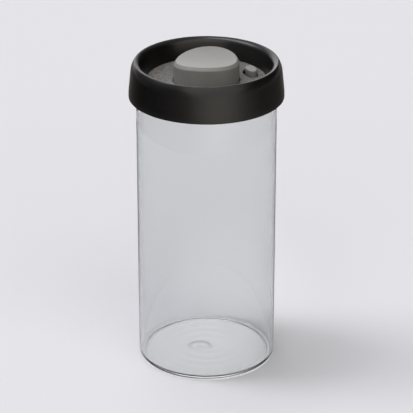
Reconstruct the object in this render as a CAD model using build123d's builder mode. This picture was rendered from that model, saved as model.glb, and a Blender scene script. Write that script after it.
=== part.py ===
from build123d import *
from math import cos, pi, radians, sin, sqrt, tan
import os

# Vacuum seal canister: a straight glass jar and a lid with a push pump in its middle
# and a small release button beside it. Sizes are in millimetres, +Z is up, and the
# origin is the centre of the glass foot. Turned pieces are half sections revolved about Z.
# The lid is laid out from the pump bore outwards, and the glass is as wide as the lid needs.

# Glass jar
glass_wall = 2.3
glass_height = 208.2
glass_floor = 2.4
heel_radius = 2.0
floor_fillet = 2.4
foot_width = 4.0
punt_depth = 0.7

# Heights that stack up from the glass rim to the deck
seal_thickness = 1.4
base_thickness = 2.0
ledge_thickness = 1.6
deck_skin = 1.4

# Collar: skirt, crest and the cone that falls to the deck
skirt_overhang = 5.3
skirt_drop = 12.0
skirt_band = 1.5
skirt_curve = 45.0
skirt_draft = 6.2
shoulder_rise = 7.2
crest_inset = 4.35
crest_rise = 13.8
crest_edge = 0.9
lip_roll = 4.6
crest_turn = 25.0
cone_angle = 19.5
collar_wall = 2.2
ledge_width = 8.2
rib_count = 12
rib_thickness = 1.2
rib_margin = 1.2
jar_clearance = 0.4

# Pump button: a round cap with a bevelled top, a shallow groove that leans a little to the left
button_wall = 2.0
button_rise = 14.4
groove_radius = 100.0
groove_azimuth = -9.7
groove_tilt = 1.9
bevel_width = 1.7
bevel_drop = 2.4
button_edge = 1.6
button_roof = 2.2
button_gap = 0.5
retainer_width = 1.4
retainer_thickness = 1.6
pump_stroke = 10.8
stroke_spare = 0.2
pad_margin = 1.0
pad_drop = 1.2
button_rib_count = 6
button_rib_thickness = 1.2
pin_drop = 9.0
pin_wall = 1.2
key_count = 3
key_width = 4.0
key_clearance = 0.4

# Pump barrel and what closes it
bore_radius = 15.5
barrel_wall = 1.8
barrel_clearance = 0.8
barrel_floor = 1.6
barrel_flange = 1.6
filter_room = 1.4
cap_thickness = 1.4
cap_spigot = 1.4
cap_vent_count = 6
cap_vent_radius = 1.5
nut_width = 3.8
nut_height = 2.6
nut_notch = 2.4
nut_notch_count = 6
nut_gap = 0.3
oring_section = 1.6
oring_squeeze = 0.3

# Piston, stem and valves
piston_height = 4.0
piston_clearance = 0.3
seal_fit = 0.08
piston_web = 1.6
piston_groove_depth = 1.7
piston_groove_height = 2.0
hub_margin = 1.8
hub_drop = 0.6
piston_rim = 1.4
stem_radius = 4.0
stem_wall = 1.5
port_count = 6
port_radius = 1.1
flap_thickness = 0.7
flap_clearance = 0.5
umbrella_radius = 6.4
umbrella_height = 1.3
umbrella_stem = 1.2
umbrella_bulb = 0.5
umbrella_edge = 0.4
inlet_port_radius = 0.9
valve_clearance = 0.2

# Lid base: the well round the pump, the plug in the jar mouth and its seal
well_clearance = 0.9
well_wall = 1.8
well_floor = 2.0
plug_gap = 3.2
plug_wall = 2.0
plug_depth = 8.6
bead_width = 0.8
bead_height = 1.2
web_count = 12
web_thickness = 1.4
web_floor = 0.4
fin_count = 3
fin_thickness = 0.8
fin_lift = 0.7
fin_clearance = 0.25
seal_sleeve = 1.4

# Release valve beside the pump
release_azimuth = 20.0
release_land = 1.0
rim_land = 4.8
opening_offset = 0.6
release_length = 13.2
release_width = 7.6
release_rise = 4.0
release_skin = 1.0
release_roof = 1.8
release_edge = 0.9
release_stroke = 3.0
release_depth = 4.4
opening_end_gap = 2.1
opening_side_gap = 1.0
pocket_clearance = 0.6
pocket_wall = 1.4
pocket_floor = 1.6
guide_height = 2.0
poppet_radius = 4.0
poppet_thickness = 1.2
poppet_seal_thickness = 1.4
poppet_seal_lip = 0.3
poppet_stem = 1.2
poppet_passage = 0.3
boss_drop = 3.4

# Springs: the wire has flats in place of a round section, to keep the facets few
pump_wire = 1.4
pump_turns = 6
pump_spring_gap = 1.3
pump_seat_margin = 0.3
pump_seat_drop = 3.4
release_wire = 0.5
release_turns = 5
release_spring_radius = 1.8
coil_gap = 0.5
flat_count = 8

# Fasteners and fits
screw_count = 6
screw_azimuth = 50.0
screw_inset = 4.9
screw_radius = 1.3
screw_head_radius = 2.3
screw_head_height = 1.3
screw_recess = 0.7
screw_length = 6.5
screw_boss_wall = 1.8
drive_radius = 1.0
drive_depth = 0.7
pin_count = 4
pin_azimuth = 65.0
pin_inset = 3.6
pin_radius = 1.5
pin_length = 5.0
pin_shoulder = 1.1
boss_wall = 1.3
stem_screw_flange = 1.4
stem_screw_head_height = 1.7
stem_screw_recess = 0.3
stem_screw_bite = 6.0
fit_gap = 0.05
deck_gap = 0.1
small_round = 0.4
overrun = 1.0

# Filter under the barrel
filter_thickness = 1.0
cover_floor = 1.0
cover_wall = 1.4
cover_grip = 1.6
hole_radius = 1.4
hole_pitch = 4.4
hole_rings = 2
holes_per_ring = 6

# Heights worked out from the stack
seal_top = glass_height + seal_thickness
base_top = seal_top + base_thickness
deck_underside = base_top + ledge_thickness
deck_thickness = deck_skin + screw_head_height - screw_recess + 2 * deck_gap
web_depth = screw_length - ledge_thickness + screw_recess + web_floor - base_thickness
deck_top = deck_underside + deck_thickness
deck_skin_underside = deck_top - deck_skin
skirt_bottom = deck_top - skirt_drop
crest_height = deck_top + crest_rise

# Heights of the pump, from the button's stop under the deck down to the filter
retainer_bottom = deck_underside - retainer_thickness
flange_top = retainer_bottom - pump_stroke - stroke_spare
floor_top = flange_top - barrel_flange
floor_bottom = floor_top - well_floor
roof_height = deck_top + button_rise - button_roof
pad_bottom = roof_height - pad_drop
spring_seat = roof_height - pump_seat_drop
barrel_top = pad_bottom - pump_stroke - barrel_clearance - cap_thickness
piston_top = barrel_top - cap_spigot - deck_gap
piston_bottom = piston_top - piston_height
chamber_floor = piston_bottom - pump_stroke - valve_clearance - umbrella_height
chamber_underside = chamber_floor - barrel_floor
nut_bottom = floor_bottom - nut_height
barrel_bottom = min(chamber_underside - filter_room, nut_bottom - nut_gap - cover_grip)
web_top = piston_bottom + piston_web
hub_top = piston_top - hub_drop

# Radii worked out from the bore outwards: piston, spring, button and well
piston_radius = bore_radius - piston_clearance
groove_root = piston_radius - piston_groove_depth
rim_inner = groove_root - piston_rim
groove_bottom = piston_bottom + (piston_height - piston_groove_height) / 2
groove_top = groove_bottom + piston_groove_height
stem_bore = stem_radius - stem_wall
stem_screw_radius = stem_bore - 2 * fit_gap - pin_wall
stem_screw_head = stem_screw_radius + stem_screw_flange
hub_radius = stem_radius + hub_margin
port_circle = (hub_radius + rim_inner) / 2
barrel_radius = bore_radius + barrel_wall
pump_spring_radius = barrel_radius + pump_spring_gap + pump_wire / 2
seat_radius = pump_spring_radius - pump_wire / 2 - pump_seat_margin
button_bore = pump_spring_radius + pump_wire / 2 + pump_spring_gap
button_radius = button_bore + button_wall
retainer_radius = button_radius + retainer_width
deck_hole = button_radius + button_gap
well_radius = retainer_radius + well_clearance
well_outer = well_radius + well_wall
flange_radius = well_radius - deck_gap

# Radii from the well outwards: release opening, deck, collar and glass
opening_width = release_width + 2 * opening_side_gap
opening_length = release_length + 2 * opening_end_gap
opening_radius = well_outer + release_land + opening_width / 2
release_radius = opening_radius + opening_offset
deck_edge = opening_radius + opening_width / 2 + rim_land
ledge_radius = deck_edge - ledge_width
screw_circle = deck_edge - screw_inset
screw_boss = screw_radius + screw_boss_wall
pin_circle = ledge_radius - pin_inset
cone_height = crest_rise - lip_roll * (1 - sin(radians(cone_angle)))
crest_radius = deck_edge + lip_roll * cos(radians(cone_angle)) + cone_height * tan(radians(cone_angle))
skirt_radius = crest_radius + crest_inset
skirt_bore = skirt_radius - collar_wall
glass_radius = skirt_radius - skirt_overhang
jar_bore = glass_radius - glass_wall
plug_radius = jar_bore - plug_gap
plug_bore = plug_radius - plug_wall
plug_bottom = seal_top - plug_depth

# Heights of the release valve
release_top = deck_top + release_rise
release_bottom = deck_top - release_depth
pocket_bottom = release_bottom - release_stroke - pocket_clearance - guide_height
pocket_depth = base_top - pocket_bottom
poppet_face = pocket_bottom - pocket_floor
release_seat = release_top - release_roof - boss_drop


def along_spoke(radius, height):
    """Plane on the release spoke, with x along the rim and z up."""
    spoke = Plane.XY.rotated((0, 0, release_azimuth))
    centre = spoke.from_local_coords(Vector(radius, 0, height))
    return Plane(origin=centre, x_dir=spoke.y_dir, z_dir=(0, 0, 1))


def draw_flank(inset):
    """Draw the skirt's band, bend and flank, set in by inset, and return the flank."""
    band_top = skirt_bottom + skirt_band
    band = Line((skirt_radius - inset, skirt_bottom), (skirt_radius - inset, band_top))
    bend = JernArc(band @ 1, (0, 1), skirt_curve - inset, skirt_draft)
    climb = deck_top + shoulder_rise - (bend @ 1).Y
    return Line(bend @ 1, bend @ 1 + Vector(-climb * tan(radians(skirt_draft)), climb))


def coil_path(radius, wire, turns, height):
    """Draw a closed-end helix of this height above the origin in the active line builder.

    The slope grows over the first turn and falls over the last. Each half turn is two
    arcs that meet in a common tangent, so the wire is a chain of tangent arcs.
    """
    closed = wire + coil_gap
    open_rise = (height - 2 * closed) / (turns - 2)

    def rise(turn):
        ramp = min(turn, turns - turn)
        return closed if ramp < 1 else open_rise

    halves = 2 * turns
    heights = [0]
    for half in range(halves):
        heights.append(heights[-1] + rise((half + 0.5) / 2) / 2)
    points = [
        Vector(radius * cos(pi * half), radius * sin(pi * half), heights[half])
        for half in range(halves + 1)
    ]
    tangents = []
    for half in range(halves + 1):
        low = heights[max(half - 1, 0)]
        high = heights[min(half + 1, halves)]
        span = min(half + 1, halves) - max(half - 1, 0)
        slope = (high - low) / (span * pi * radius)
        tangents.append(Vector(-sin(pi * half), cos(pi * half), slope).normalized())
    for start, end, leave, arrive in zip(points, points[1:], tangents, tangents[1:]):
        chord = end - start
        both = leave + arrive
        bend = 2 * (1 - leave.dot(arrive))
        reach = (sqrt(chord.dot(both) ** 2 + bend * chord.dot(chord)) - chord.dot(both)) / bend
        joint = (start + end + (leave - arrive) * reach) * 0.5
        first = TangentArc(start, joint, tangent=leave)
        TangentArc(joint, end, tangent=first % 1)
    return points[0], tangents[0]


# Glass jar: straight wall, fire-rounded rim, rounded heel and a foot ring round a domed punt
with BuildPart() as glass_jar:
    with BuildSketch(Plane.XZ):
        with BuildLine():
            foot_inner = glass_radius - heel_radius - foot_width
            Line((0, glass_floor), (0, punt_depth))
            TangentArc((0, punt_depth), (foot_inner, 0), tangent=(1, 0))
            Line((foot_inner, 0), (glass_radius - heel_radius, 0))
            JernArc((glass_radius - heel_radius, 0), (1, 0), heel_radius, 90)
            Line((glass_radius, heel_radius), (glass_radius, glass_height - glass_wall / 2))
            JernArc((glass_radius, glass_height - glass_wall / 2), (0, 1), glass_wall / 2, 180)
            Line((jar_bore, glass_height - glass_wall / 2), (jar_bore, glass_floor + floor_fillet))
            JernArc((jar_bore, glass_floor + floor_fillet), (0, -1), floor_fillet, -90)
            Line((jar_bore - floor_fillet, glass_floor), (0, glass_floor))
        make_face()
    revolve(axis=Axis.Z)

# Collar shell: outer skirt, rolled crest, inner cone and the ledge that carries the deck
with BuildPart() as collar_shell:
    with BuildSketch(Plane.XZ) as collar_section:
        with BuildLine():
            roll_centre = Vector(crest_radius, crest_height - lip_roll)
            flank_end = draw_flank(0)
            TangentArc(flank_end @ 1, (crest_radius, crest_height), tangent=flank_end % 1)
            roll = JernArc((crest_radius, crest_height), (-1, 0), lip_roll, 90 - cone_angle)
            inner_turn = 90 - cone_angle - crest_turn
            inner_roll = CenterArc(roll_centre, lip_roll - collar_wall, 90 + crest_turn, inner_turn)
            inner_flank = draw_flank(collar_wall)
            TangentArc(inner_flank @ 1, inner_roll @ 0, tangent=inner_flank % 1)
            cone_back = deck_edge + collar_wall
            cone_drop = ((inner_roll @ 1).X - cone_back) / tan(radians(cone_angle))
            Polyline(
                roll @ 1,
                (deck_edge, deck_top),
                (deck_edge, deck_underside),
                (ledge_radius, deck_underside),
                (ledge_radius, base_top),
                (cone_back, base_top),
                (cone_back, (inner_roll @ 1).Y - cone_drop),
                inner_roll @ 1,
            )
            Line((skirt_radius, skirt_bottom), (skirt_bore, skirt_bottom))
        make_face()
        fillet(collar_section.vertices().sort_by(Axis.Y)[-1], crest_edge)
    revolve(axis=Axis.Z)
    with BuildSketch(Plane.XY.offset(skirt_bottom + rib_margin)):
        rib_reach = skirt_bore - glass_radius - jar_clearance + collar_wall / 2
        with PolarLocations(glass_radius + jar_clearance + rib_reach / 2, rib_count):
            Rectangle(rib_reach, rib_thickness)
    extrude(amount=seal_top - skirt_bottom - 2 * rib_margin)
    with BuildSketch(along_spoke(opening_radius, base_top)):
        SlotOverall(opening_length + 2 * pocket_wall, opening_width + 2 * pocket_wall)
    extrude(amount=ledge_thickness, mode=Mode.SUBTRACT)
    with Locations(Plane.XY.offset(deck_underside)):
        with PolarLocations(screw_circle, screw_count, start_angle=screw_azimuth):
            head_bore = screw_head_radius + deck_gap
            CounterBoreHole(screw_radius + fit_gap, head_bore, screw_recess, ledge_thickness)

# Deck plate: the round plate inside the collar, with the pump hole and the release opening
with BuildPart() as deck_plate:
    with BuildSketch(Plane.XZ):
        with BuildLine():
            plate_radius = deck_edge - deck_gap
            plate_rim = screw_circle + screw_head_radius + deck_gap
            hub_outer = well_radius - deck_gap
            Polyline(
                (deck_hole, deck_top),
                (plate_radius, deck_top),
                (plate_radius, deck_underside),
                (plate_rim, deck_underside),
                (plate_rim, deck_skin_underside),
                (hub_outer, deck_skin_underside),
                (hub_outer, deck_underside),
                (deck_hole, deck_underside),
                close=True,
            )
        make_face()
    revolve(axis=Axis.Z)
    with BuildSketch(along_spoke(opening_radius, deck_top)):
        Ellipse(opening_length / 2, opening_width / 2)
    extrude(amount=-deck_thickness, mode=Mode.SUBTRACT)
    with BuildSketch(Plane.XY.offset(base_top)):
        with PolarLocations(pin_circle, pin_count, start_angle=pin_azimuth):
            Circle(pin_radius + pin_shoulder)
    extrude(amount=deck_top - deck_skin / 2 - base_top)
    with BuildSketch(Plane.XY.offset(base_top)):
        with PolarLocations(pin_circle, pin_count, start_angle=pin_azimuth):
            Circle(pin_radius)
    extrude(amount=-pin_length)
    fillet(deck_plate.faces().filter_by(Axis.Z).sort_by(Axis.Z)[-1].inner_wires().edges(), small_round)

# Lid base: flange on the seal, plug in the jar mouth, pump well and release pocket
with BuildPart() as lid_base:
    base_radius = skirt_bore - 2 * jar_clearance
    with BuildSketch(Plane.XZ):
        with BuildLine():
            Polyline(
                (well_radius, base_top),
                (base_radius, base_top),
                (base_radius, seal_top),
                (plug_radius, seal_top),
                (plug_radius, plug_bottom + bead_height),
                (plug_radius + bead_width, plug_bottom + bead_height),
                (plug_radius, plug_bottom),
                (plug_bore, plug_bottom),
                (plug_bore, seal_top),
                (well_outer, seal_top),
                (well_outer, floor_bottom),
                (barrel_radius + deck_gap, floor_bottom),
                (barrel_radius + deck_gap, floor_top),
                (well_radius, floor_top),
                close=True,
            )
        make_face()
    revolve(axis=Axis.Z)
    with BuildSketch(Plane.XY.offset(seal_top)):
        web_length = plug_bore - well_outer + web_thickness
        with PolarLocations((plug_bore + well_outer) / 2, web_count, start_angle=pin_azimuth):
            Rectangle(web_length, web_thickness)
        with PolarLocations(screw_circle, screw_count, start_angle=screw_azimuth):
            Circle(screw_boss)
        with PolarLocations(pin_circle, pin_count, start_angle=pin_azimuth):
            Circle(pin_radius + boss_wall)
    extrude(amount=-web_depth)
    with BuildSketch(along_spoke(opening_radius, poppet_face)):
        SlotOverall(opening_length + 2 * pocket_wall, opening_width + 2 * pocket_wall)
    extrude(amount=base_top - poppet_face)
    with BuildSketch(along_spoke(opening_radius, pocket_bottom)):
        SlotOverall(opening_length, opening_width)
    extrude(amount=pocket_depth, mode=Mode.SUBTRACT)
    with BuildSketch(along_spoke(release_radius, pocket_bottom)):
        Circle(release_spring_radius + 2 * release_wire + boss_wall / 2)
        Circle(release_spring_radius + release_wire, mode=Mode.SUBTRACT)
    extrude(amount=guide_height)
    with Locations(along_spoke(release_radius, pocket_bottom)):
        Hole(poppet_stem + poppet_passage, pocket_floor)
    with Locations(Plane.XY.offset(base_top)):
        with PolarLocations(screw_circle, screw_count, start_angle=screw_azimuth):
            Hole(screw_radius + fit_gap, screw_length - ledge_thickness + screw_recess)
        with PolarLocations(pin_circle, pin_count, start_angle=pin_azimuth):
            Hole(pin_radius + fit_gap, pin_length)
    with BuildSketch(Plane.XY.offset(flange_top)):
        key_inner = button_radius + key_clearance
        key_outer = well_radius + well_wall / 2
        with PolarLocations((key_inner + key_outer) / 2, key_count, start_angle=release_azimuth):
            Rectangle(key_outer - key_inner, key_width)
    extrude(amount=base_top - flange_top)
    with BuildSketch(Plane.XY.offset(floor_top)):
        Circle((barrel_radius + flange_radius) / 2 + oring_section / 2 + fit_gap)
        Circle((barrel_radius + flange_radius) / 2 - oring_section / 2 - fit_gap, mode=Mode.SUBTRACT)
    extrude(amount=-(oring_section - oring_squeeze), mode=Mode.SUBTRACT)

# Silicone jar seal: a flange on the glass rim, a sleeve on the plug and fins in the mouth
with BuildPart() as jar_seal:
    with BuildSketch(Plane.XZ):
        sleeve_radius = plug_radius + seal_sleeve
        sleeve_bottom = plug_bottom + bead_height
        fin_pitch = (glass_height - sleeve_bottom) / fin_count
        with BuildLine():
            Polyline(
                (plug_radius, seal_top),
                (glass_radius, seal_top),
                (glass_radius, glass_height),
                (sleeve_radius, glass_height),
                (sleeve_radius, sleeve_bottom),
                (plug_radius, sleeve_bottom),
                close=True,
            )
        make_face()
        for fin in range(fin_count):
            fin_root = sleeve_bottom + fin * fin_pitch + fin_thickness / 2
            with BuildLine():
                Polyline(
                    (sleeve_radius - seal_sleeve / 2, fin_root),
                    (jar_bore - fin_clearance, fin_root + fin_lift),
                    (jar_bore - fin_clearance, fin_root + fin_lift + fin_thickness),
                    (sleeve_radius - seal_sleeve / 2, fin_root + fin_thickness),
                    close=True,
                )
            make_face()
    revolve(axis=Axis.Z)

# Screws that hold the collar's ledge to the lid base, hidden by the deck plate
with BuildPart() as collar_screws:
    head_seat = deck_underside - screw_recess
    with BuildSketch(Plane.XY.offset(head_seat)):
        with PolarLocations(screw_circle, screw_count, start_angle=screw_azimuth):
            Circle(screw_head_radius)
    extrude(amount=screw_head_height)
    with BuildSketch(Plane.XY.offset(head_seat)):
        with PolarLocations(screw_circle, screw_count, start_angle=screw_azimuth):
            Circle(screw_radius)
    extrude(amount=-(screw_length - overrun))
    with BuildSketch(Plane.XY.offset(head_seat + screw_head_height)):
        with PolarLocations(screw_circle, screw_count, start_angle=screw_azimuth):
            RegularPolygon(drive_radius, 6)
    extrude(amount=-drive_depth, mode=Mode.SUBTRACT)

# Pump barrel: a cylinder with a closed floor, clamped in the lid base by its flange
with BuildPart() as pump_barrel:
    with BuildSketch(Plane.XZ):
        with BuildLine():
            Polyline(
                (bore_radius, barrel_top),
                (barrel_radius, barrel_top),
                (barrel_radius, flange_top),
                (flange_radius, flange_top),
                (flange_radius, floor_top),
                (barrel_radius, floor_top),
                (barrel_radius, barrel_bottom),
                (bore_radius, barrel_bottom),
                (bore_radius, chamber_underside),
                (0, chamber_underside),
                (0, chamber_floor),
                (bore_radius, chamber_floor),
                close=True,
            )
        make_face()
    revolve(axis=Axis.Z)
    with Locations(Plane.XY.offset(chamber_floor)):
        Hole(umbrella_stem + fit_gap, barrel_floor)
        with PolarLocations((umbrella_stem + umbrella_radius) / 2, port_count):
            Hole(inlet_port_radius, barrel_floor)

# O-ring between the barrel flange and the well floor, drawn squeezed in its groove
with BuildPart() as barrel_oring:
    ring_height = oring_section - oring_squeeze
    with BuildSketch(Plane.XZ) as ring_section:
        with Locations(((barrel_radius + flange_radius) / 2, floor_top - ring_height / 2)):
            Rectangle(oring_section, ring_height)
        chamfer(ring_section.vertices(), ring_height / 4)
    revolve(axis=Axis.Z)

# Ring nut that pulls the barrel down on the O-ring, with notches for a pin spanner
with BuildPart() as barrel_nut:
    with BuildSketch(Plane.XY.offset(floor_bottom)):
        Circle(barrel_radius + nut_width)
        Circle(barrel_radius + fit_gap, mode=Mode.SUBTRACT)
        with PolarLocations(barrel_radius + nut_width, nut_notch_count):
            Rectangle(nut_notch, nut_notch, mode=Mode.SUBTRACT)
    extrude(amount=-nut_height)

# Barrel cap: guides the stem, stops the piston and vents the space above it
with BuildPart() as barrel_cap:
    with BuildSketch(Plane.XY.offset(barrel_top)):
        Circle(barrel_radius)
        Circle(stem_radius + piston_clearance, mode=Mode.SUBTRACT)
        with PolarLocations(port_circle, cap_vent_count):
            Circle(cap_vent_radius, mode=Mode.SUBTRACT)
    extrude(amount=cap_thickness)
    with BuildSketch(Plane.XY.offset(barrel_top)):
        Circle(bore_radius - fit_gap)
        Circle(rim_inner + piston_rim, mode=Mode.SUBTRACT)
    extrude(amount=-cap_spigot)

# Inlet umbrella valve: lets jar air up into the barrel and shuts when the piston comes down
with BuildPart() as inlet_valve:
    with BuildSketch(Plane.XZ):
        with BuildLine():
            bulb_tip = chamber_underside - umbrella_height
            edge_height = chamber_floor + umbrella_edge
            Polyline(
                (0, chamber_floor + umbrella_height),
                (0, bulb_tip),
                (umbrella_stem / 2, bulb_tip),
                (umbrella_stem + umbrella_bulb, chamber_underside),
                (umbrella_stem, chamber_underside),
                (umbrella_stem, chamber_floor),
                (umbrella_radius, chamber_floor),
                (umbrella_radius, edge_height),
            )
            TangentArc(
                (0, chamber_floor + umbrella_height), (umbrella_radius, edge_height), tangent=(1, 0)
            )
        make_face()
    revolve(axis=Axis.Z)

# Filter disc under the inlet, held by a snap-on cover with a ring pattern of holes
with BuildPart() as filter_disc:
    with BuildSketch(Plane.XY.offset(barrel_bottom)):
        Circle(barrel_radius)
    extrude(amount=-filter_thickness)

with BuildPart() as filter_cover:
    cover_radius = barrel_radius + fit_gap
    cover_top = barrel_bottom - filter_thickness
    with BuildSketch(Plane.XZ):
        with BuildLine():
            Polyline(
                (0, cover_top),
                (cover_radius, cover_top),
                (cover_radius, barrel_bottom + cover_grip),
                (cover_radius + cover_wall, barrel_bottom + cover_grip),
                (cover_radius + cover_wall, cover_top - cover_floor),
                (0, cover_top - cover_floor),
                close=True,
            )
        make_face()
    revolve(axis=Axis.Z)
    with Locations(Plane.XY.offset(cover_top)):
        Hole(hole_radius, cover_floor)
        for ring in range(1, hole_rings + 1):
            with PolarLocations(ring * hole_pitch, ring * holes_per_ring):
                Hole(hole_radius, cover_floor)

# Core that hollows the button's roof: its top follows the groove at the roof's thickness,
# and it leaves a middle pad and ribs standing under the roof
groove_spoke = Vector(cos(radians(groove_azimuth)), sin(radians(groove_azimuth)), tan(radians(groove_tilt)))
crown_rise = button_radius**2 / (2 * groove_radius) + button_radius * tan(radians(groove_tilt)) + overrun
with BuildPart() as roof_core:
    with BuildSketch(Plane.XY.offset(spring_seat)):
        Circle(seat_radius)
    extrude(amount=roof_height + crown_rise - spring_seat)
    with BuildSketch(Plane(origin=(0, 0, roof_height + groove_radius), z_dir=groove_spoke)):
        Circle(groove_radius)
    extrude(amount=2 * button_radius, both=True, mode=Mode.SUBTRACT)
    with BuildSketch(Plane.XY.offset(pad_bottom)):
        Circle(stem_radius + pad_margin)
        with PolarLocations(seat_radius / 2, button_rib_count):
            Rectangle(seat_radius + overrun, button_rib_thickness)
    extrude(amount=pad_drop + crown_rise, mode=Mode.SUBTRACT)

# Pump button: grooved cap, skirt with a retaining rim, spring shoulder and a hollow pin
with BuildPart() as pump_button:
    button_top = deck_top + button_rise
    with BuildSketch(Plane.XY.offset(retainer_bottom)):
        Circle(button_radius)
    extrude(amount=button_top + crown_rise - retainer_bottom)
    with BuildSketch(Plane(origin=(0, 0, button_top + groove_radius), z_dir=groove_spoke)):
        Circle(groove_radius)
    extrude(amount=2 * button_radius, both=True, mode=Mode.SUBTRACT)
    grooved_top = pump_button.faces().sort_by(Axis.Z)[-1]
    chamfer(grooved_top.edges(), bevel_width, bevel_drop, reference=grooved_top)
    button_side = pump_button.faces().filter_by(GeomType.CYLINDER).sort_by(Axis.Z)[0]
    fillet(button_side.edges().sort_by(Axis.Z)[-1], button_edge)
    with BuildSketch(Plane.XY.offset(retainer_bottom)):
        Circle(retainer_radius)
        with PolarLocations(retainer_radius, key_count, start_angle=release_azimuth):
            Rectangle(2 * retainer_width, key_width + 2 * key_clearance, mode=Mode.SUBTRACT)
    extrude(amount=retainer_thickness)
    with BuildSketch(Plane.XY.offset(retainer_bottom)):
        Circle(button_bore)
    extrude(amount=spring_seat - retainer_bottom, mode=Mode.SUBTRACT)
    add(roof_core.part, mode=Mode.SUBTRACT)
    with BuildSketch(Plane.XY.offset(pad_bottom)):
        Circle(stem_bore - fit_gap)
    extrude(amount=-pin_drop)
    with BuildSketch(Plane.XY.offset(pad_bottom - pin_drop)):
        Circle(stem_screw_radius + fit_gap)
    extrude(amount=stem_screw_bite + overrun, mode=Mode.SUBTRACT)

# Pump stem: a tube between the button's pad and the piston hub
with BuildPart() as pump_stem:
    with BuildSketch(Plane.XY.offset(hub_top)):
        Circle(stem_radius)
        Circle(stem_bore, mode=Mode.SUBTRACT)
    extrude(amount=pad_bottom - hub_top)

# Piston: web with outlet ports, hub for the stem and a rim grooved for the seal
with BuildPart() as piston:
    recess_top = piston_bottom + stem_screw_head_height + stem_screw_recess
    with BuildSketch(Plane.XZ):
        with BuildLine():
            Polyline(
                (stem_screw_radius + fit_gap, hub_top),
                (hub_radius, hub_top),
                (hub_radius, web_top),
                (rim_inner, web_top),
                (rim_inner, piston_top),
                (piston_radius, piston_top),
                (piston_radius, groove_top),
                (groove_root, groove_top),
                (groove_root, groove_bottom),
                (piston_radius, groove_bottom),
                (piston_radius, piston_bottom),
                (stem_screw_head + deck_gap, piston_bottom),
                (stem_screw_head + deck_gap, recess_top),
                (stem_screw_radius + fit_gap, recess_top),
                close=True,
            )
        make_face()
    revolve(axis=Axis.Z)
    with Locations(Plane.XY.offset(web_top)):
        with PolarLocations(port_circle, port_count):
            Hole(port_radius, piston_web)

# Piston seal: a lip ring in the groove whose lip leans out to the bore
with BuildPart() as piston_seal:
    with BuildSketch(Plane.XZ):
        with BuildLine():
            lip_radius = bore_radius - seal_fit
            Polyline(
                (groove_root, groove_top),
                (piston_radius - piston_clearance, groove_top),
                (lip_radius, groove_bottom + piston_groove_height / 3),
                (lip_radius, groove_bottom),
                (groove_root, groove_bottom),
                close=True,
            )
        make_face()
    revolve(axis=Axis.Z)

# Outlet flap: a flat silicone ring over the piston's ports
with BuildPart() as outlet_valve:
    with BuildSketch(Plane.XY.offset(web_top)):
        Circle(rim_inner - flap_clearance)
        Circle(hub_radius + fit_gap, mode=Mode.SUBTRACT)
    extrude(amount=flap_thickness)

# Long screw that clamps piston, stem and button together
with BuildPart() as stem_screw:
    head_face = recess_top - stem_screw_head_height
    with BuildSketch(Plane.XY.offset(head_face)):
        Circle(stem_screw_head)
    extrude(amount=stem_screw_head_height)
    with BuildSketch(Plane.XY.offset(recess_top)):
        Circle(stem_screw_radius)
    extrude(amount=pad_bottom - pin_drop + stem_screw_bite - recess_top)
    with BuildSketch(Plane.XY.offset(head_face)):
        RegularPolygon(drive_radius, 6)
    extrude(amount=drive_depth, mode=Mode.SUBTRACT)

# Pump spring: round the barrel, from its flange to the shoulder inside the button
with BuildPart() as pump_spring:
    with BuildLine():
        length = spring_seat - flange_top - pump_wire
        start, heading = coil_path(pump_spring_radius, pump_wire, pump_turns, length)
    with BuildSketch(Plane(origin=start, z_dir=heading)):
        RegularPolygon(pump_wire / 2, flat_count)
    sweep()
pump_spring.part.locate(Plane.XY.offset(flange_top + pump_wire / 2).location)

# Release button: a hollow oval that stands in the deck's oval opening
with BuildPart() as release_button:
    with BuildSketch(along_spoke(release_radius, release_bottom)):
        Ellipse(release_length / 2, release_width / 2)
    extrude(amount=release_top - release_bottom)
    fillet(release_button.faces().sort_by(Axis.Z)[-1].edges(), release_edge)
    with BuildSketch(along_spoke(release_radius, release_bottom)):
        Ellipse(release_length / 2 - release_skin, release_width / 2 - release_skin)
    extrude(amount=release_top - release_roof - release_bottom, mode=Mode.SUBTRACT)
    with BuildSketch(along_spoke(release_radius, release_seat)):
        Circle(release_spring_radius + release_wire)
    extrude(amount=boss_drop + release_roof / 2)
    with BuildSketch(along_spoke(release_radius, release_seat)):
        Circle(poppet_stem + fit_gap)
    extrude(amount=boss_drop, mode=Mode.SUBTRACT)

# Release poppet: disc and stem under the pocket, pressed into the release button
with BuildPart() as release_poppet:
    seal_face = poppet_face - poppet_seal_thickness
    with BuildSketch(along_spoke(release_radius, seal_face)):
        Circle(poppet_radius)
    extrude(amount=-poppet_thickness)
    with BuildSketch(along_spoke(release_radius, seal_face)):
        Circle(poppet_stem)
    extrude(amount=release_seat + boss_drop - seal_face)

with BuildPart() as poppet_seal:
    with BuildSketch(along_spoke(release_radius, seal_face)):
        Circle(poppet_radius + poppet_seal_lip)
        Circle(poppet_stem + fit_gap, mode=Mode.SUBTRACT)
    extrude(amount=poppet_seal_thickness)

# Release spring: from the pocket floor to the boss inside the release button
with BuildPart() as release_spring:
    with BuildLine():
        length = release_seat - pocket_bottom - release_wire
        start, heading = coil_path(release_spring_radius, release_wire, release_turns, length)
    with BuildSketch(Plane(origin=start, z_dir=heading)):
        RegularPolygon(release_wire / 2, flat_count)
    sweep()
release_spring.part.locate(along_spoke(release_radius, pocket_bottom + release_wire / 2).location)

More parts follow.
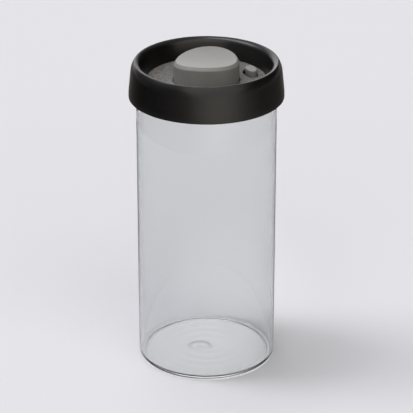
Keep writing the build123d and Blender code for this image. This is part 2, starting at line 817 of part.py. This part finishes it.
# Every piece is one node, written under its own name
pieces = {
    "glass_jar": glass_jar,
    "collar_shell": collar_shell,
    "deck_plate": deck_plate,
    "lid_base": lid_base,
    "jar_seal": jar_seal,
    "collar_screws": collar_screws,
    "pump_barrel": pump_barrel,
    "barrel_oring": barrel_oring,
    "barrel_nut": barrel_nut,
    "barrel_cap": barrel_cap,
    "inlet_valve": inlet_valve,
    "filter_disc": filter_disc,
    "filter_cover": filter_cover,
    "pump_spring": pump_spring,
    "release_spring": release_spring,
    "pump_button": pump_button,
    "pump_stem": pump_stem,
    "piston": piston,
    "piston_seal": piston_seal,
    "outlet_valve": outlet_valve,
    "stem_screw": stem_screw,
    "release_button": release_button,
    "release_poppet": release_poppet,
    "poppet_seal": poppet_seal,
}
os.makedirs("parts", exist_ok=True)
for name, piece in pieces.items():
    piece.part.label = name
    export_step(piece.part, f"parts/{name}.step")
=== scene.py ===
import bpy
import numpy as np
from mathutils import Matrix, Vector


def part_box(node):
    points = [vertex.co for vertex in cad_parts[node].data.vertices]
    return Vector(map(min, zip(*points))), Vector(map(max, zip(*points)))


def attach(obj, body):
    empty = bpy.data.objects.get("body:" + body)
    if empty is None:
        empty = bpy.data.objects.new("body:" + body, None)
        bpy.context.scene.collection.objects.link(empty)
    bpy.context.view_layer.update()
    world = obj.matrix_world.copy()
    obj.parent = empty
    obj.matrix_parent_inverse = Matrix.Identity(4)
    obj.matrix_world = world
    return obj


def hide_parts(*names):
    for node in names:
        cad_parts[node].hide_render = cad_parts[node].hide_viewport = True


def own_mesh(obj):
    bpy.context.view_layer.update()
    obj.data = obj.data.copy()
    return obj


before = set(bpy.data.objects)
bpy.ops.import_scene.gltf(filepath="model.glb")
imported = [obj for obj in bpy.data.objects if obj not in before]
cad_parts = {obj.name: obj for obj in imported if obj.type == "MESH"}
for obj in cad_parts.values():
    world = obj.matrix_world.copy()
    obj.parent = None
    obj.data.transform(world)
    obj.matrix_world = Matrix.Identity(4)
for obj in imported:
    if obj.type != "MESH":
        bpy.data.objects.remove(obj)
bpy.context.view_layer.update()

bl_info = {
    "name": "Vacuum seal canister",
    "version": (1, 0, 0),
    "blender": (4, 5, 0),
    "location": "3D View > Sidebar > Canister",
    "description": "Dresses the packed canister in glass, plastic and steel, in a plain studio",
    "category": "Object",
}

MM = 0.001
GATHER = (-5 * MM, 1 * MM)  # the jar's gather mark, from its axis
COIL_GAP = 0.5 * MM  # between the closed turns at a spring's ends
SHARP = 32  # degrees, the least angle of an edge that isn't shaded smooth
FAINT, STRONG = 0.3, 0.7  # between these lies most of a pattern that goes from 0 to 1


# Colours, nodes and materials


def linear(code):
    """sRGB hex code to linear red, green and blue."""
    srgb = np.array([int(code[i : i + 2], 16) for i in (0, 2, 4)]) / 255
    return tuple(np.where(srgb <= 0.04045, srgb / 12.92, ((srgb + 0.055) / 1.055) ** 2.4))


def add(tree, kind, inputs=None, **settings):
    """Add a node, set its settings, then link or set each input named or numbered in inputs."""
    node = tree.nodes.new(kind)
    for key, value in settings.items():
        setattr(node, key, value)
    for key, value in (inputs or {}).items():
        if isinstance(value, bpy.types.NodeSocket):
            tree.links.new(value, node.inputs[key])
        else:
            node.inputs[key].default_value = value
    return node


def start_material(name):
    """New material with an empty node tree, and the object coordinates in it, in metres."""
    material = bpy.data.materials.new(name)
    material.use_nodes = True
    tree = material.node_tree
    tree.nodes.clear()
    return material, tree, add(tree, "ShaderNodeTexCoord").outputs["Object"]


def end_material(tree, shader, volume=None):
    """Link the shader, and the volume where there is one, to the output."""
    inputs = {"Surface": shader.outputs[0]}
    if volume:
        inputs["Volume"] = volume.outputs[0]
    add(tree, "ShaderNodeOutputMaterial", inputs)


def grain(tree, place, size, detail=3.0, stretch=(1, 1, 1)):
    """Noise whose grains are size metres across, longer along an axis by its stretch."""
    scale = [1 / (size * s) for s in stretch]
    scaled = add(tree, "ShaderNodeMapping", {"Vector": place, "Scale": scale})
    noise = add(
        tree,
        "ShaderNodeTexNoise",
        {"Vector": scaled.outputs[0], "Scale": 1.0, "Detail": detail, "Roughness": 0.55},
    )
    return noise.outputs["Fac"]


def finish(tree, tint, relief, rough, others):
    """Shader of a solid finish, whose colour, bump and roughness come from patterns.

    tint is (pattern, hex code, hex code) and rough is (pattern, number, number), or None for an
    even finish. Both go from their first value to their second while the pattern goes from FAINT
    to STRONG. relief is (pattern, depth in metres), and others are the shader's other inputs.
    """
    pattern, *codes = tint
    ramp = add(tree, "ShaderNodeValToRGB", {"Fac": pattern})
    for element, position, code in zip(ramp.color_ramp.elements, (FAINT, STRONG), codes):
        element.position = position
        element.color = (*linear(code), 1)
    pattern, depth = relief
    inputs = {"Height": pattern, "Distance": depth, "Strength": 1.0}
    bump = add(tree, "ShaderNodeBump", inputs)
    others = {"Base Color": ramp.outputs["Color"], "Normal": bump.outputs[0], **others}
    if rough:
        pattern, low, high = rough
        ends = {"From Min": FAINT, "From Max": STRONG, "To Min": low, "To Max": high}
        others["Roughness"] = add(tree, "ShaderNodeMapRange", {"Value": pattern, **ends}).outputs[0]
    return add(tree, "ShaderNodeBsdfPrincipled", others)


def drawn_glass():
    """Borosilicate tube, drawn and fire polished: clear, grey where one looks along the wall."""
    material, tree, place = start_material("borosilicate_drawn")
    # The draw leaves long, very shallow waves up the wall, about 14 mm apart
    waves = grain(tree, place, 14 * MM, 1.0, (1, 1, 9))
    inputs = {"Height": waves, "Distance": 0.03 * MM, "Strength": 1.0}
    bump = add(tree, "ShaderNodeBump", inputs)
    shader = add(
        tree,
        "ShaderNodeBsdfPrincipled",
        {
            "Base Color": (*linear("F1F2F2"), 1),
            "Roughness": 0.0,
            "IOR": 1.473,
            "Transmission Weight": 1.0,
            "Normal": bump.outputs[0],
        },
    )
    inputs = {"Color": (*linear("BDC0C3"), 1), "Density": 8.0}
    end_material(tree, shader, add(tree, "ShaderNodeVolumeAbsorption", inputs))
    return material


def moulded(name, colours, patch, rough, grit, depth, stretch=(1, 1, 1), speckled=False):
    """Injection moulded plastic, between two colours and two roughnesses.

    They drift over patches of the size patch, but a speckled plastic's colours go with its marks.
    The marks are as large as the tool's grit, and depth deep.
    """
    material, tree, place = start_material(name)
    drift = grain(tree, place, patch, 2.0)
    marks = grain(tree, place, grit, 3.0, stretch)
    tint = (marks if speckled else drift, *colours)
    shader = finish(tree, tint, (marks, depth), (drift, *rough), {"IOR": 1.53})
    end_material(tree, shader)
    return material


def silicone():
    """Silicone rubber, pressed: soft sheen, lets some light in, dusty bloom."""
    material, tree, place = start_material("silicone_pressed")
    bloom = grain(tree, place, 3 * MM, 4.0)
    skin = grain(tree, place, 0.6 * MM)
    soft = {
        "IOR": 1.41,
        "Subsurface Weight": 0.3,
        "Subsurface Radius": (2 * MM, 2 * MM, 2 * MM),
    }
    tint = (bloom, "8D8C89", "9B9A97")
    shader = finish(tree, tint, (skin, 0.02 * MM), (bloom, 0.42, 0.58), soft)
    end_material(tree, shader)
    return material


def drawn_steel(name, rough, size, stretch):
    """Stainless steel, drawn or headed: bright with fine marks along the wire."""
    material, tree, place = start_material(name)
    marks = grain(tree, place, size, 3.0, stretch)
    tint = (marks, "BDBCB9", "D0CFCC")
    shader = finish(tree, tint, (marks, 0.01 * MM), (marks, *rough), {"Metallic": 1.0})
    end_material(tree, shader)
    return material


def needled_felt():
    """Polyester filter felt, needled: matt white with tangled fibres about 0.1 mm thick."""
    material, tree, place = start_material("filter_felt_needled")
    # Fibres are too fine to show, so they are drawn three times as thick
    inputs = {"Vector": place, "Scale": 1 / (0.3 * MM)}
    cells = add(tree, "ShaderNodeTexVoronoi", inputs, feature="DISTANCE_TO_EDGE")
    fibres = cells.outputs["Distance"]
    tint = (fibres, "D9D8D2", "F1F0EB")
    matt = {"Roughness": 0.95, "Sheen Weight": 0.4}
    shader = finish(tree, tint, (fibres, 0.08 * MM), None, matt)
    end_material(tree, shader)
    return material


def painted_board(colour):
    """Painted board, matt and pale, for the floor.

    A short render finds little of the light that comes to the board through the jar, or that the
    jar throws beside it. So the board glows where the jar hides it, and in a patch behind the jar.
    """
    material, tree, place = start_material("floor_painted_board")
    reach = add(tree, "ShaderNodeVectorMath", {0: place}, operation="LENGTH").outputs["Value"]
    edge = {"From Min": 48.5 * MM, "From Max": 49.8 * MM, "To Min": 1.0, "To Max": 0.0}
    hidden = add(tree, "ShaderNodeMapRange", {"Value": reach, **edge}).outputs[0]

    # The glow under the jar is even but for the gather mark, which spreads the light under it:
    # less glow in a spot, and in a ring round the spot, most of all at the back
    even, ring, end = 0.46, 8 * MM, 11 * MM
    off = add(tree, "ShaderNodeVectorMath", {0: place, 1: (*GATHER, 0)}, operation="DISTANCE")
    off = off.outputs["Value"]
    inputs = {0: off, 1: 2 * np.pi / ring}
    angle = add(tree, "ShaderNodeMath", inputs, operation="MULTIPLY").outputs[0]
    wave = add(tree, "ShaderNodeMath", {0: angle}, operation="COSINE").outputs[0]
    inputs = {0: wave, 1: -1.0, 2: -0.5}
    dip = add(tree, "ShaderNodeMath", inputs, operation="MULTIPLY_ADD").outputs[0]
    inputs = {"Value": off, "From Min": ring, "From Max": end, "To Min": 0.22, "To Max": 0.0}
    fade = add(tree, "ShaderNodeMapRange", inputs).outputs[0]
    back = add(tree, "ShaderNodeSeparateXYZ", {0: place}).outputs["Y"]
    inputs = {"Value": back, "From Min": -4 * MM, "From Max": 7 * MM, "To Min": 0.1, "To Max": 1.0}
    behind = add(tree, "ShaderNodeMapRange", inputs).outputs[0]
    depth = add(tree, "ShaderNodeMath", {0: fade, 1: behind}, operation="MULTIPLY").outputs[0]
    inputs = {0: dip, 1: depth, 2: even}
    marked = add(tree, "ShaderNodeMath", inputs, operation="MULTIPLY_ADD").outputs[0]

    # The patch behind the jar is painted light that lifts the shade the canister casts there, an
    # oval that fades from its middle
    inputs = {"Vector": place, "Location": (-0.2, -0.4, 0), "Scale": (11, 5, 1)}
    oval = add(tree, "ShaderNodeMapping", inputs).outputs[0]
    away = add(tree, "ShaderNodeVectorMath", {0: oval}, operation="LENGTH").outputs["Value"]
    inputs = {"Value": away, "From Min": 0.0, "From Max": 1.0, "To Min": 0.125, "To Max": 0.0}
    painted_light_behind = add(tree, "ShaderNodeMapRange", inputs, interpolation_type="SMOOTHSTEP").outputs[0]

    inputs = {0: hidden, 1: marked, 2: painted_light_behind}
    glow = add(tree, "ShaderNodeMath", inputs, operation="MULTIPLY_ADD").outputs[0]
    shader = add(
        tree,
        "ShaderNodeBsdfPrincipled",
        {
            "Base Color": (*colour, 1),
            "Roughness": 0.9,
            "Specular IOR Level": 0.1,
            "Emission Color": (*linear("FCFCFF"), 1),
            "Emission Strength": glow,
        },
    )
    end_material(tree, shader)
    return material


# Surfaces worked out with numpy


def arc(x, z, radius, start, end, steps=14):
    """Points (x + radius cos a, z + radius sin a), a evenly from start to end in degrees."""
    a = np.radians(np.linspace(start, end, steps))
    return np.column_stack((x + radius * np.cos(a), z + radius * np.sin(a)))


def line(start, end, steps):
    """Points evenly from start to end."""
    t = np.linspace(0, 1, steps)[:, None]
    return np.array(start) * (1 - t) + np.array(end) * t


def put_mesh(name, corners, triangles, quads):
    """New object from corners and arrays of corner numbers, smooth but for its sharp edges."""
    mesh = bpy.data.meshes.new(name)
    loops = np.concatenate((triangles.ravel(), quads.ravel())).astype(np.int32)
    sizes = np.concatenate((np.full(len(triangles), 3), np.full(len(quads), 4))).astype(np.int32)
    starts = np.concatenate(([0], np.cumsum(sizes)[:-1])).astype(np.int32)
    mesh.vertices.add(len(corners))
    mesh.vertices.foreach_set("co", corners.astype(np.float32).ravel())
    mesh.loops.add(len(loops))
    mesh.loops.foreach_set("vertex_index", loops)
    mesh.polygons.add(len(sizes))
    mesh.polygons.foreach_set("loop_start", starts)
    mesh.polygons.foreach_set("loop_total", sizes)
    mesh.update(calc_edges=True)
    mesh.shade_smooth()
    mesh.set_sharp_from_angle(angle=np.radians(SHARP))
    piece = bpy.data.objects.new(name, mesh)
    bpy.context.scene.collection.objects.link(piece)
    return piece


def wrapped(name, rings, poles):
    """New object with a skin over rings of corners, closed at each end by a fan from a pole."""
    count, around = rings.shape[:2]
    corners = np.concatenate((rings.reshape(-1, 3), poles))
    number = np.arange(count * around).reshape(count, around)
    beside = np.roll(number, -1, axis=1)
    quads = np.stack((number[:-1], beside[:-1], beside[1:], number[1:]), 2).reshape(-1, 4)
    first = np.full(around, count * around)
    low = np.stack((first, beside[0], number[0]), 1)
    high = np.stack((first + 1, number[-1], beside[-1]), 1)
    return put_mesh(name, corners, np.concatenate((low, high)), quads)


def turned(name, profile, around=320):
    """Turned solid: point j of the profile (r, z), carried round Z, is (r cos a, r sin a, z).

    The profile starts and ends on the axis.
    """
    a = np.linspace(0, 2 * np.pi, around, endpoint=False)
    inner = profile[1:-1]
    r, z = inner[:, 0], inner[:, 1]
    x, y = np.outer(r, np.cos(a)), np.outer(r, np.sin(a))
    rings = np.stack((x, y, np.outer(z, np.ones(around))), 2)
    return wrapped(name, rings, np.array([[0, 0, profile[0, 1]], [0, 0, profile[-1, 1]]]))


def underside(reach, step):
    """Profile under the jar, outwards to reach, nearly flat: z = step (1 - s^40), s = r over reach.

    Low waves lie beside the step, so z also has 0.08 mm cos(2 pi r / 2.4 mm) as far as s is near
    0.95, by exp(-((s - 0.95) / 0.03)^2).
    """
    wave, pitch, middle, spread = 0.08 * MM, 2.4 * MM, 0.95, 0.03
    coarse = line((0, 0), (0.8 * reach, 0), 30)
    profile = np.concatenate((coarse, line(coarse[-1], (reach, 0), 70)[1:]))
    share = profile[:, 0] / reach
    beside = np.exp(-(((share - middle) / spread) ** 2))
    profile[:, 1] = step * (1 - share**40)
    profile[:, 1] += wave * np.cos(profile[:, 0] / pitch * 2 * np.pi) * beside
    return profile


def pressed_floor(reach, bottom, ripple):
    """Profile of the jar's floor, inwards from reach, with rings 9 mm apart.

    z = bottom + 2 ripple s (1 - s) cos(2 pi r / 9 mm), where s is r over reach.
    """
    pitch = 9 * MM
    profile = line((reach, bottom), (0, bottom), 120)
    share = profile[:, 0] / reach
    profile[:, 1] += ripple * np.cos(profile[:, 0] / pitch * 2 * np.pi) * share * (1 - share) * 2
    return profile


def raise_mark(jar, lowest):
    """Gather mark: corners above lowest rise by 0.35 mm exp(-(d / 6.5 mm)^4), d from GATHER."""
    rise, width = 0.35 * MM, 6.5 * MM
    corners = np.empty(3 * len(jar.data.vertices), np.float32)
    jar.data.vertices.foreach_get("co", corners)
    corners = corners.reshape(-1, 3)
    off = np.hypot(corners[:, 0] - GATHER[0], corners[:, 1] - GATHER[1]) / width
    corners[:, 2] += rise * np.exp(-(off**4)) * (corners[:, 2] > lowest)
    jar.data.vertices.foreach_set("co", corners.ravel())
    jar.data.update()


def coil(name, node, wire, turns):
    """Spring in a node's box: a wire round the helix (R cos a, R sin a, z).

    There a is 2 pi times the turn. The first and the last turn are closed, and z rises evenly over
    the others. The wire's corners are off the helix by w (cos b outwards + sin b upwards), where
    w is half the wire's width and both directions are square to the helix.
    """
    steps, around = 48, 16  # corners along a turn and round the wire
    low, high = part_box(node)
    radius = (high.x - low.x - wire) / 2
    height = high.z - low.z - wire
    closed = wire + COIL_GAP
    opened = (height - 2 * closed) / (turns - 2)
    turn = np.linspace(0, turns, turns * steps + 1)
    # The pitch goes from closed to opened between 0.75 and 1.25 turns from either end
    ease = np.clip(2 * np.minimum(turn, turns - turn) - 1.5, 0, 1)
    pitch = closed + (opened - closed) * ease**2 * (3 - 2 * ease)
    rise = np.concatenate(([0], np.cumsum((pitch[1:] + pitch[:-1]) / 2 * np.diff(turn))))
    a = 2 * np.pi * turn
    outwards = np.stack((np.cos(a), np.sin(a), np.zeros(len(a))), 1)
    helix = radius * outwards + rise[:, None] * (0, 0, 1)
    helix += ((low.x + high.x) / 2, (low.y + high.y) / 2, low.z + wire / 2)
    along = np.gradient(helix, axis=0)
    along /= np.linalg.norm(along, axis=1)[:, None]
    upwards = np.cross(along, outwards)
    b = np.linspace(0, 2 * np.pi, around, endpoint=False)[:, None]
    off = np.cos(b) * outwards[:, None] + np.sin(b) * upwards[:, None]
    return wrapped(name, helix[:, None] + wire / 2 * off, helix[[0, -1]])


def dress(material, *names):
    """Give CAD nodes this material."""
    for name in names:
        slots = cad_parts[name].data.materials
        slots.clear()
        slots.append(material)


def sun(name, strength, width, towards, colour="FFFFFF"):
    """Distant lamp: a disc in the sky, width degrees across, whose light goes in a direction."""
    lamp = bpy.data.lights.new(name, "SUN")
    lamp.energy = strength
    lamp.color = linear(colour)
    lamp.angle = np.radians(width)
    lamp_object = bpy.data.objects.new(name, lamp)
    lamp_object.rotation_euler = Vector(towards).to_track_quat("-Z", "Y").to_euler()
    bpy.context.scene.collection.objects.link(lamp_object)


def card(name, inner, outer, colour, tones):
    """Card on the floor that only reflections see, as a photographer lays round glass.

    It is a flat ring: (r sin a, -r cos a, 1 mm), where a is the angle from the front. It is lit in
    its colour, by a tone that goes evenly between the (angle, grey) pairs in tones.
    """
    degrees = np.arange(-180, 180, 4)
    grey = np.interp(degrees, *np.transpose(tones))
    a = np.radians(degrees)[:, None]
    r = np.array([inner, outer])
    z = np.full((len(a), 2), 1 * MM)
    corners = np.stack((r * np.sin(a), -r * np.cos(a), z), 2).reshape(-1, 3)
    number = np.arange(2 * len(a)).reshape(len(a), 2)
    beside = np.roll(number, -1, axis=0)
    quads = np.stack((number[:, 0], number[:, 1], beside[:, 1], beside[:, 0]), 1)
    ring = put_mesh(name, corners, np.empty((0, 3)), quads)
    ring.data.attributes.new("tone", "FLOAT", "POINT").data.foreach_set("value", np.repeat(grey, 2))
    material, tree, _ = start_material(name + "_paper")
    tone = add(tree, "ShaderNodeAttribute", attribute_name="tone").outputs["Fac"]
    inputs = {"Color": (*linear(colour), 1), "Strength": tone}
    end_material(tree, add(tree, "ShaderNodeEmission", inputs))
    ring.data.materials.append(material)
    for ray in ("camera", "diffuse", "transmission", "shadow", "volume_scatter"):
        setattr(ring, "visible_" + ray, False)


def room():
    """World: a room, brighter overhead and to the left, with a soft window low at the back."""
    world = bpy.data.worlds.new("studio")
    world.use_nodes = True
    tree = world.node_tree
    towards = add(tree, "ShaderNodeTexCoord").outputs["Generated"]
    # Both lights fade with the angle from where they are brightest, by its cosine
    overhead, low_back = (-0.3, 0.05, 0.95), (-0.24, 0.95, 0.2)
    inputs = {0: towards, 1: overhead}
    lean = add(tree, "ShaderNodeVectorMath", inputs, operation="DOT_PRODUCT").outputs["Value"]
    inputs = {"Value": lean, "From Min": 0.3, "From Max": 0.95, "To Min": 0.04, "To Max": 0.61}
    ceiling = add(tree, "ShaderNodeMapRange", inputs).outputs[0]
    inputs = {0: towards, 1: low_back}
    lean = add(tree, "ShaderNodeVectorMath", inputs, operation="DOT_PRODUCT").outputs["Value"]
    inputs = {"Value": lean, "From Min": 0.84, "From Max": 0.97, "To Min": 0.0, "To Max": 1.8}
    window = add(tree, "ShaderNodeMapRange", inputs).outputs[0]
    total = add(tree, "ShaderNodeMath", {0: ceiling, 1: window}, operation="ADD").outputs[0]
    background = tree.nodes["Background"]
    background.inputs["Color"].default_value = (*linear("F4F4F7"), 1)
    tree.links.new(total, background.inputs["Strength"])
    return world


class CanisterSettings(bpy.types.PropertyGroup):
    """Sizes and colours of the canister that a user would change"""

    wall: bpy.props.FloatProperty(
        name="Glass wall",
        description="Thickness of the jar's wall",
        default=2.3 * MM,
        min=1 * MM,
        max=4 * MM,
        subtype="DISTANCE",
        unit="LENGTH",
    )
    bottom: bpy.props.FloatProperty(
        name="Glass bottom",
        description="Height of the jar's floor above the table",
        default=2.4 * MM,
        subtype="DISTANCE",
        unit="LENGTH",
    )
    ripple: bpy.props.FloatProperty(
        name="Bottom ripple",
        description="Depth of the rings that pressing leaves in the jar's floor",
        default=0.12 * MM,
        subtype="DISTANCE",
        unit="LENGTH",
    )
    floor_colour: bpy.props.FloatVectorProperty(
        name="Floor",
        description="Colour of the studio floor",
        default=linear("E2E2E7"),
        subtype="COLOR",
    )


class CANISTER_OT_glass(bpy.types.Operator):
    """Replace the jar with a smooth one of drawn glass"""

    bl_idname = "canister.glass"
    bl_label = "Glass jar"

    def execute(self, context):
        sizes = context.scene.canister
        _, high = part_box("glass_jar")
        radius, top = high.x, high.z
        wall, bottom = sizes.wall, sizes.bottom
        heel, fillet, ring, step = 2.8 * MM, 2.4 * MM, 1.4 * MM, 0.7 * MM
        bore = radius - wall
        ring_inner = radius - heel - ring
        profile = np.concatenate(
            (
                underside(ring_inner, step),
                line((ring_inner, 0), (radius - heel, 0), 8)[1:],
                arc(radius - heel, heel, heel, -90, 0)[1:],
                line((radius, heel), (radius, top - wall / 2), 16)[1:],
                arc(radius - wall / 2, top - wall / 2, wall / 2, 0, 180, 18)[1:],
                line((bore, top - wall / 2), (bore, bottom + fillet), 16)[1:],
                arc(bore - fillet, bottom + fillet, fillet, 0, -90)[1:],
                pressed_floor(bore - fillet, bottom, sizes.ripple)[1:],
            )
        )
        jar = turned("jar_glass", profile)
        raise_mark(jar, bottom / 2)
        jar.data.materials.append(drawn_glass())
        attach(jar, "jar")
        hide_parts("glass_jar")
        return {"FINISHED"}


class CANISTER_OT_lid(bpy.types.Operator):
    """Give the collar and the deck their moulded plastics"""

    bl_idname = "canister.lid"
    bl_label = "Collar and deck"

    def execute(self, context):
        # ABS from a blasted tool: brown black, satin, with a soft wide sheen
        collar = moulded(
            "abs_collar_satin",
            ("060403", "0A0706"),
            patch=30 * MM,
            rough=(0.28, 0.33),
            grit=0.5 * MM,
            depth=0.006 * MM,
        )
        dress(collar, "collar_shell")
        # ABS from a spark eroded tool: warm grey, matt, with streaks about 1 mm long
        deck = moulded(
            "abs_deck_spark_textured",
            ("4B4845", "85827F"),
            patch=12 * MM,
            rough=(0.50, 0.62),
            grit=1.3 * MM,
            depth=0.10 * MM,
            stretch=(1.5, 1, 1),
            speckled=True,
        )
        dress(deck, "deck_plate")
        return {"FINISHED"}


class CANISTER_OT_buttons(bpy.types.Operator):
    """Give the pump button and the release button their matt plastic"""

    bl_idname = "canister.buttons"
    bl_label = "Buttons"

    def execute(self, context):
        # ABS from a finely blasted tool: warm grey and matt, close to a stone
        button = moulded(
            "abs_button_matt",
            ("858482", "8D8C8A"),
            patch=14 * MM,
            rough=(0.4, 0.46),
            grit=0.6 * MM,
            depth=0.02 * MM,
        )
        dress(button, "pump_button", "release_button")
        return {"FINISHED"}


class CANISTER_OT_workings(bpy.types.Operator):
    """Give the parts inside the lid their plastics, silicone, steel and felt"""

    bl_idname = "canister.workings"
    bl_label = "Parts inside the lid"

    def execute(self, context):
        # Polypropylene, moulded: waxy, dark brown
        base = moulded(
            "polypropylene_moulded",
            ("2A2622", "332E2A"),
            patch=20 * MM,
            rough=(0.38, 0.5),
            grit=0.9 * MM,
            depth=0.02 * MM,
        )
        dress(base, "lid_base", "barrel_nut", "filter_cover")
        # Acetal, moulded: white, slippery, slightly milky
        barrel = moulded(
            "acetal_moulded",
            ("CFCFCA", "DADAD5"),
            patch=16 * MM,
            rough=(0.25, 0.34),
            grit=0.9 * MM,
            depth=0.01 * MM,
        )
        dress(barrel, "pump_barrel", "barrel_cap", "pump_stem", "piston", "release_poppet")
        rubber = silicone()
        dress(rubber, "jar_seal", "barrel_oring", "piston_seal", "poppet_seal")
        dress(rubber, "inlet_valve", "outlet_valve")
        screws = drawn_steel("stainless_screw_headed", (0.3, 0.42), 0.5 * MM, (1, 1, 3))
        dress(screws, "collar_screws", "stem_screw")
        dress(needled_felt(), "filter_disc")
        return {"FINISHED"}


class CANISTER_OT_springs(bpy.types.Operator):
    """Replace the two springs with smooth ones"""

    bl_idname = "canister.springs"
    bl_label = "Springs"

    def execute(self, context):
        steel = drawn_steel("spring_steel_drawn", (0.22, 0.34), 0.4 * MM, (4, 4, 1))
        for node, joint, wire, turns in (
            ("pump_spring", "pump_press", 1.4 * MM, 6),
            ("release_spring", "release_press", 0.5 * MM, 5),
        ):
            spring = coil(node + "_wire", node, wire, turns)
            spring.data.materials.append(steel)
            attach(spring, "lid")
            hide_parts(node)
            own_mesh(spring)
        return {"FINISHED"}


class CANISTER_OT_studio(bpy.types.Operator):
    """Set up the floor, the lights and the camera"""

    bl_idname = "canister.studio"
    bl_label = "Studio"

    def execute(self, context):
        scene = context.scene
        scene.view_settings.view_transform = "Standard"
        scene.view_settings.look = "None"
        # Square floor, just under the foot
        reach, gap = 4.0, 0.2 * MM
        square = np.array([[-1, -1, 0], [1, -1, 0], [1, 1, 0], [-1, 1, 0]])
        corners = square * reach - [0, 0, gap]
        floor = put_mesh("floor", corners, np.empty((0, 3)), np.array([[0, 1, 2, 3]]))
        floor.data.materials.append(painted_board(scene.canister.floor_colour))
        # The glass mirrors the near card, which darkens its edges, and the lid mirrors the far one
        foot, border, end = 0.052, 0.46, 2.5
        left = [(-180, 0.0), (-152, 0.0), (-134, 0.45), (-100, 0.55), (-45, 0.7)]
        right = [(45, 0.7), (100, 0.45), (130, 0.3), (152, 0.0), (180, 0.0)]
        card("near_card", foot, border, "F0F2F8", left + right)
        left = [(-180, 0.5), (-160, 0.3), (-140, 0.1), (-110, 0.0), (-60, 0.0), (-25, 0.25)]
        right = [(8, 1.3), (26, 1.3), (56, 0.4), (80, 0.1), (140, 0.1), (160, 0.3), (180, 0.5)]
        card("far_card", border, end, "FFF4EA", left + right)
        scene.world = room()

        # Tall strip of three lamps on the left, a little to the back, and a wide lamp in front
        for degrees in (48, 64, 80):
            height = np.radians(degrees)
            towards = (np.cos(height), -0.14 * np.cos(height), -np.sin(height))
            sun(f"strip_{degrees}", 0.5, 22, towards)
        sun("fill", 1.47, 86, (-0.22, 1, -0.55), "FFFBF4")

        # Lens, place and downward tilt as fitted to the photograph
        camera = bpy.data.cameras.new("camera")
        camera.sensor_fit = "HORIZONTAL"
        camera.sensor_width = 36.0
        camera.lens = 185.76
        camera.clip_end = 20.0
        eye = bpy.data.objects.new("camera", camera)
        eye.location = (0, -1.4055, 0.7633)
        tilt = 24.72
        eye.rotation_euler = (np.radians(90 - tilt), 0, 0)
        scene.collection.objects.link(eye)
        scene.camera = eye
        return {"FINISHED"}


class CANISTER_PT_panel(bpy.types.Panel):
    """Sizes, colours and steps of the canister"""

    bl_idname = "CANISTER_PT_panel"
    bl_label = "Vacuum seal canister"
    bl_space_type = "VIEW_3D"
    bl_region_type = "UI"
    bl_category = "Canister"

    def draw(self, context):
        layout = self.layout
        sizes = context.scene.canister
        for key in ("wall", "bottom", "ripple", "floor_colour"):
            layout.prop(sizes, key)
        for step in STEPS:
            layout.operator(step.bl_idname)


STEPS = (
    CANISTER_OT_glass,
    CANISTER_OT_lid,
    CANISTER_OT_buttons,
    CANISTER_OT_workings,
    CANISTER_OT_springs,
    CANISTER_OT_studio,
)
CLASSES = (CanisterSettings, *STEPS, CANISTER_PT_panel)


def register():
    """Register the classes and hang the settings on the scene."""
    for item in CLASSES:
        bpy.utils.register_class(item)
    bpy.types.Scene.canister = bpy.props.PointerProperty(type=CanisterSettings)


def unregister():
    """Undo register."""
    del bpy.types.Scene.canister
    for item in reversed(CLASSES):
        bpy.utils.unregister_class(item)


def main():
    """Build the dressed canister."""
    register()
    bpy.ops.canister.glass()
    bpy.ops.canister.lid()
    bpy.ops.canister.buttons()
    bpy.ops.canister.workings()
    bpy.ops.canister.springs()
    bpy.ops.canister.studio()


if __name__ == "__main__":
    main()
